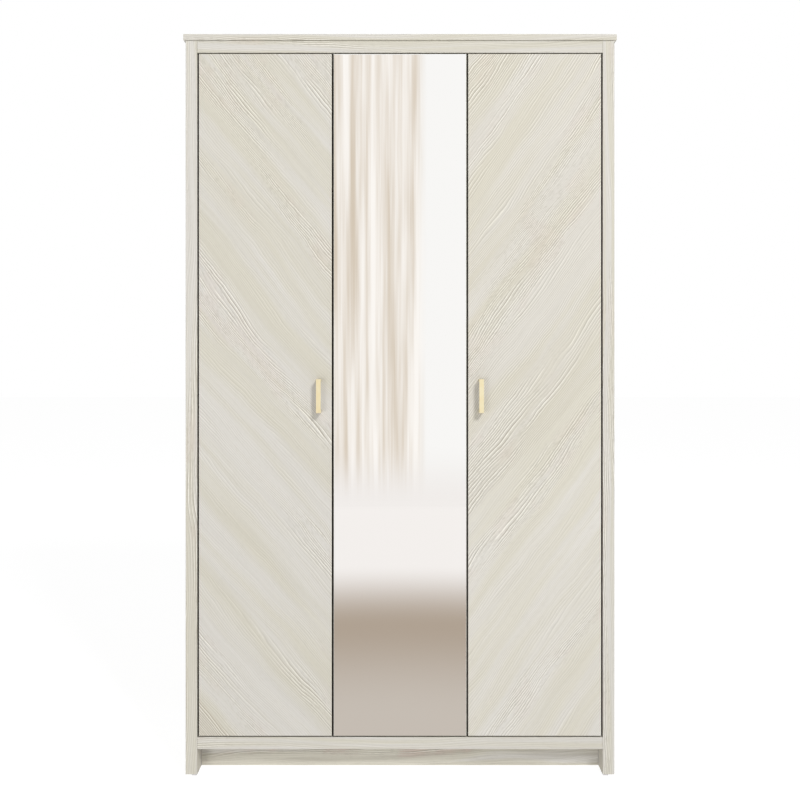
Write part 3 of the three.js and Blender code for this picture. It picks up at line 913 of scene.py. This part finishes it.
def add_back_nails():
    """Nails up both edges of each back panel, and along the bottom panel and the shelves."""
    inset, pitch = NAIL_INSET * MM, NAIL_PITCH * MM
    head = [(0, 0), (2.2, 0), (2.2, 0.35), (1.5, 0.7), (0, 0.75)]
    bm = bmesh.new()
    for panel, shelves in (("back_panel_wide", ("hat_shelf",)), ("back_panel_narrow", SHELVES)):
        low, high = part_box(panel)
        columns = spread(low.x + inset, high.x - inset, pitch)
        rows = spread(middle_of("bottom_panel").z, high.z - inset, pitch)
        levels = [rows[0]] + [middle_of(shelf).z for shelf in shelves]
        spots = {(x, z) for x in (columns[0], columns[-1]) for z in rows}
        spots |= {(x, z) for z in levels for x in columns}
        for x, z in sorted(spots):
            lathe(bm, on_face(x, high.y, z, (0, 1, 0)), head, steps=12)
    steel_piece("back_nails", bm)


def add_joint_strip():
    """A flat strip over the joint between the two back panels."""
    low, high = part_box("back_panel_wide")
    joint = (high.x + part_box("back_panel_narrow")[0].x) / 2
    bm = bmesh.new()
    section = [(-STRIP_HALF, STRIP_FRONT), (STRIP_HALF, STRIP_FRONT)]
    section += [(STRIP_FACE_HALF, STRIP_BACK), (-STRIP_FACE_HALF, STRIP_BACK)]
    section = rounded(section, 0.8, steps=3)
    place = Matrix.Translation((joint, high.y, 0)) @ MILLIMETRES
    prism(bm, place, section, low.z / MM, high.z / MM)
    piece("back_joint_strip", bm, "white_plastic")


def add_edge_bands():
    """One wide edging strip covers the front of each side panel and of the stile beside it."""
    for side in ("left", "right"):
        boxes = [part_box(f"{side}_side_panel"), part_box(f"{side}_stile")]
        left = min(low.x for low, _ in boxes) / MM + BAND_INSET
        right = max(high.x for _, high in boxes) / MM - BAND_INSET
        low, high = boxes[0]
        back = low.y / MM
        front = back - BAND_THICKNESS
        bm = bmesh.new()
        section = [(left, back), (right, back), (right, front), (left, front)]
        prism(bm, MILLIMETRES, section, low.z / MM, high.z / MM)
        piece(f"{side}_edge_band", bm, "upright", rounding=0.3)


# ---------------------------------------------------------------- stage
FLOOR_SIZE = 60.0
FLOOR_GLOW = 0.89  # a lit floor, so that the wardrobe's own shadow on it stays faint
SWEEP_RADIUS = 6.0
SWEEP_COVE = 0.5
SWEEP_HEIGHT = 4.5
SWEEP_START = 0.3
SWEEP_LIFT = 0.003  # above the floor
SWEEP_STEPS = 64
COVE_STEPS = 8
FOLDS = 78.0  # the drape's painted fold shade and light, in cycles per radian round the studio
FOLD_STRETCH = 0.35  # and in cycles per metre up the drape
DRAPE_END = {"low": 0.02, "high": 0.035}  # radians to the right of the studio's front
FLOOR_NEAR, FLOOR_DARKEST, FLOOR_FAR = 0.7, 1.9, 3.3  # from the middle of the studio
FLOOR_TONES_END = 0.45  # the height by which the drape's tones have taken over


def staged(name, points, faces, material):
    mesh = bpy.data.meshes.new(name)
    mesh.from_pydata(points, [], faces)
    mesh.materials.append(material)
    obj = bpy.data.objects.new(name, mesh)
    bpy.context.scene.collection.objects.link(obj)
    return obj


def plain_floor():
    s = Shader("studio_floor")
    speck = s.noise(s.place(), detail=2.0, scale=3.0)
    s.set(
        Base_Color=s.mix(speck, srgb(144, 144, 144), srgb(141, 141, 141)),
        Roughness=0.9,
        Emission_Color=grey(1.0),
        Emission_Strength=FLOOR_GLOW,
        Specular_IOR_Level=0.0,
    )
    half = FLOOR_SIZE / 2
    corners = [(-half, -half, 0), (half, -half, 0), (half, half, 0), (-half, half, 0)]
    staged("studio_floor", corners, [(0, 1, 2, 3)], s.material)


def sweep_finish():
    """The sweep's own glowing tones: a floor that is darkest part of the way out, a smooth drape
    with painted shade and light of folds, and a plain wall to the right of the drape."""
    s = Shader("studio_sweep")
    x, y, z = s.split(s.place())
    away = s.math("SQRT", s.math("ADD", s.math("MULTIPLY", x, x), s.math("MULTIPLY", y, y)))
    turn = s.math("ARCTAN2", x, s.math("MULTIPLY", y, -1.0))
    fold_place = s.vector(s.math("MULTIPLY", turn, FOLDS), 0.0, s.math("MULTIPLY", z, FOLD_STRETCH))
    # The drape is smooth: its folds are painted shade and light on the glowing sweep.
    fold_shading = s.ramp(s.noise(fold_place, detail=3.0, roughness=0.6), 0.25, 0.68)
    drape = s.mix(fold_shading, srgb(210, 196, 177), srgb(252, 248, 243))
    back = s.mix(s.ramp(turn, **DRAPE_END), drape, srgb(248, 247, 245))
    darkening = s.ramp(away, FLOOR_NEAR, FLOOR_DARKEST)
    floor = s.mix(darkening, srgb(194, 185, 175), srgb(170, 155, 139))
    floor = s.mix(s.ramp(away, FLOOR_DARKEST, FLOOR_FAR), floor, srgb(240, 236, 233))
    s.set(
        Base_Color=grey(0.0),
        Roughness=1.0,
        Emission_Color=s.mix(s.ramp(z, 0.0, FLOOR_TONES_END), floor, back),
        Emission_Strength=1.0,
    )
    return s.material


def sweep_profile():
    """(distance out, height) along the sweep: floor, a round cove and an upright wall."""
    flat_end = SWEEP_RADIUS - SWEEP_COVE
    profile = [(SWEEP_START, SWEEP_LIFT), (flat_end, SWEEP_LIFT)]
    quarter = arc((flat_end, SWEEP_COVE), SWEEP_COVE, -math.pi / 2, 0, COVE_STEPS)
    return profile + quarter[1:] + [(SWEEP_RADIUS, SWEEP_HEIGHT)]


def studio_sweep():
    """A pale sweep of floor and drape round the front of the studio, which only gloss sees."""
    profile = sweep_profile()
    row = len(profile)
    points, faces = [], []
    for i in range(SWEEP_STEPS + 1):
        angle = math.pi * (1 + i / SWEEP_STEPS)
        points += [(r * math.cos(angle), r * math.sin(angle), z) for r, z in profile]
    for i in range(SWEEP_STEPS):
        for j in range(row - 1):
            a = i * row + j
            faces.append((a, a + 1, a + row + 1, a + row))
    sweep = staged("studio_sweep", points, faces, sweep_finish())
    sweep.visible_camera = False
    sweep.visible_diffuse = False
    sweep.visible_shadow = False


SURROUND_LIGHT = 0.36  # the white surround's strength as a light
LIGHT_TARGET = (0.0, -0.24, 0.95)


def white_surround():
    """A world that looks white and mirrors white, and is dimmer as a light."""
    world = bpy.data.worlds.new("studio_light")
    world.use_nodes = True
    tree = world.node_tree
    backdrop = tree.nodes["Background"]
    backdrop.inputs["Color"].default_value = grey(1.0)
    path = tree.nodes.new("ShaderNodeLightPath")
    seen = tree.nodes.new("ShaderNodeMath")
    seen.operation = "MAXIMUM"
    tree.links.new(path.outputs["Is Camera Ray"], seen.inputs[0])
    tree.links.new(path.outputs["Is Glossy Ray"], seen.inputs[1])
    strength = tree.nodes.new("ShaderNodeMath")
    strength.operation = "MULTIPLY_ADD"
    tree.links.new(seen.outputs[0], strength.inputs[0])
    strength.inputs[1].default_value = 1 - SURROUND_LIGHT
    strength.inputs[2].default_value = SURROUND_LIGHT
    tree.links.new(strength.outputs[0], backdrop.inputs["Strength"])
    bpy.context.scene.world = world


def area_light(name, place, size, power):
    """A square lamp that faces the wardrobe's front and isn't seen itself."""
    data = bpy.data.lights.new(name, "AREA")
    data.shape = "SQUARE"
    data.size = size
    data.energy = power
    lamp = bpy.data.objects.new(name, data)
    lamp.location = place
    towards = Vector(LIGHT_TARGET) - Vector(place)
    lamp.rotation_euler = towards.to_track_quat("-Z", "Y").to_euler()
    lamp.visible_camera = False
    lamp.visible_glossy = False
    bpy.context.scene.collection.objects.link(lamp)


def light_studio():
    """A white surround, a key from the upper right and a weak fill from the lower left."""
    white_surround()
    area_light("key", place=(2.8, -6.1, 5.2), size=1.5, power=392)
    area_light("fill", place=(-1.8, -3.7, 0.5), size=1.0, power=28)
    bpy.context.scene.view_settings.view_transform = "Standard"


# ---------------------------------------------------------------- camera
CAMERA_DISTANCE = 2.95  # from the doors
CAMERA_SHIFT = -0.05
SENSOR_WIDTH = 36
HEIGHT_SHARE = 0.9264  # of the frame's height that the wardrobe fills
MIDDLE_BELOW_CENTRE = 0.0064  # of the frame's height, from its centre down to the wardrobe's


def add_camera():
    """Square to the front, with the uprights parallel."""
    low, high = CAD_BOX
    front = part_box("left_door")[0].y
    frame_height = (high.z - low.z) / HEIGHT_SHARE
    middle = (low.z + high.z) / 2 + MIDDLE_BELOW_CENTRE * frame_height
    data = bpy.data.cameras.new("camera")
    data.sensor_width = SENSOR_WIDTH
    data.lens = CAMERA_DISTANCE / frame_height * SENSOR_WIDTH
    data.shift_y = CAMERA_SHIFT
    camera = bpy.data.objects.new("camera", data)
    camera.location = (0, front - CAMERA_DISTANCE, middle - CAMERA_SHIFT * frame_height)
    camera.rotation_euler = (90 * DEG, 0, 0)
    bpy.context.scene.collection.objects.link(camera)
    bpy.context.scene.camera = camera


dress_frame()
add_edge_bands()
add_hinges()
add_handle_screws()
add_clothes_rail()
add_shelf_pins()
add_cam_caps()
add_door_stops()
add_back_nails()
add_joint_strip()
plain_floor()
studio_sweep()
light_studio()
add_camera()
